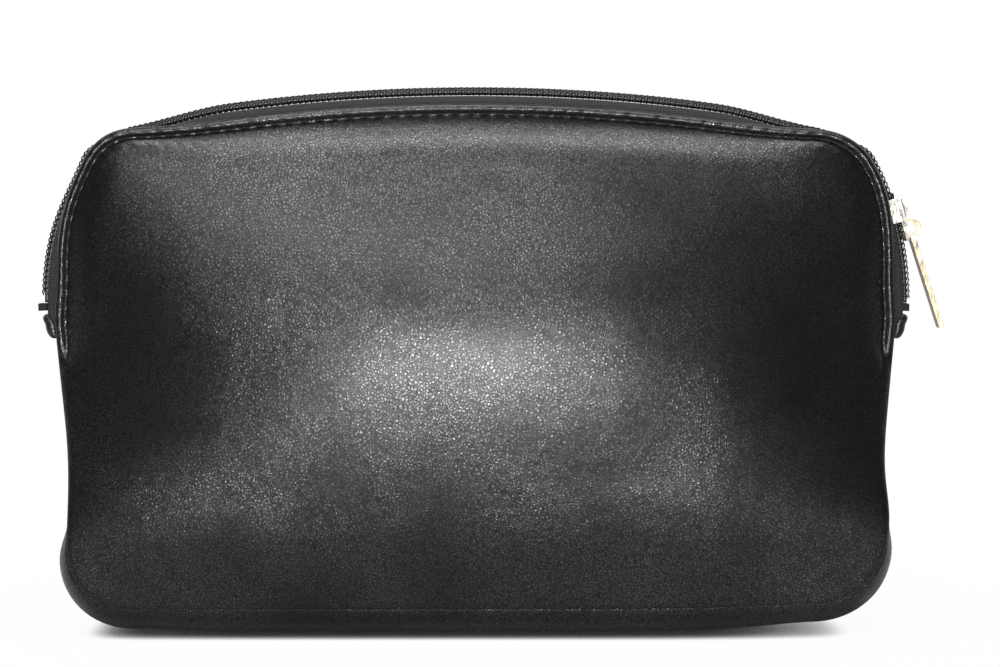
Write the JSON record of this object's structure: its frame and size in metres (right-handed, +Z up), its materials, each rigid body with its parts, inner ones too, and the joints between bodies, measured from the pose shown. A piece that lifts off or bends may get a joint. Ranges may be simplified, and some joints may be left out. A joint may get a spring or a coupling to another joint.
{
  "type": "cosmetic bag",
  "caption": "Soft black leather cosmetic bag with a gusset and base, closed over the top by a coil zip with a metal slider and puller.",
  "frame": {"origin": "middle of the flat underside, on the surface that the bag stands on", "axes": "+Z up, +X to the right seen from the front, where the slider is, and -Y out of the front panel"},
  "size_m": [0.2187, 0.058, 0.1308],
  "materials": {
    "leather": "black pebbled leather, soft sheen",
    "interlining": "thin felted padding",
    "board": "stiff fibre board",
    "lining": "black woven lining",
    "zip_tape": "black woven tape",
    "zip_coil": "black nylon coil",
    "gold_metal": "pale gold plated, polished"
  },
  "bodies": {
    "bag": {"front_panel": "leather", "back_panel": "leather", "gusset": "leather", "front_interlining": "interlining", "back_interlining": "interlining", "base_stiffener": "board", "lining_front": "lining", "lining_back": "lining", "lining_gusset": "lining", "zip_tape_front": "zip_tape", "zip_tape_back": "zip_tape", "zip_coil_front": "zip_coil", "zip_coil_back": "zip_coil", "zip_top_stop_front": "zip_coil", "zip_top_stop_back": "zip_coil", "zip_bottom_stop": "zip_coil", "zip_end_tab_left": "leather", "zip_end_tab_right": "leather"},
    "slider": {"slider_body": "gold_metal"},
    "puller": {"slider_puller": "gold_metal"}
  },
  "joints": [
    {"name": "slider_travel", "type": "hinge", "parent": "bag", "child": "slider", "pos_m": [0.031, 0, 0.08], "axis": [0, 1, 0], "range_deg": [-6.5, 10.9]},
    {"name": "puller_swing", "type": "hinge", "parent": "slider", "child": "puller", "pos_m": [0.10417, 0, 0.09925], "axis": [0, -1, 0], "range_deg": [0, 120]}
  ]
}
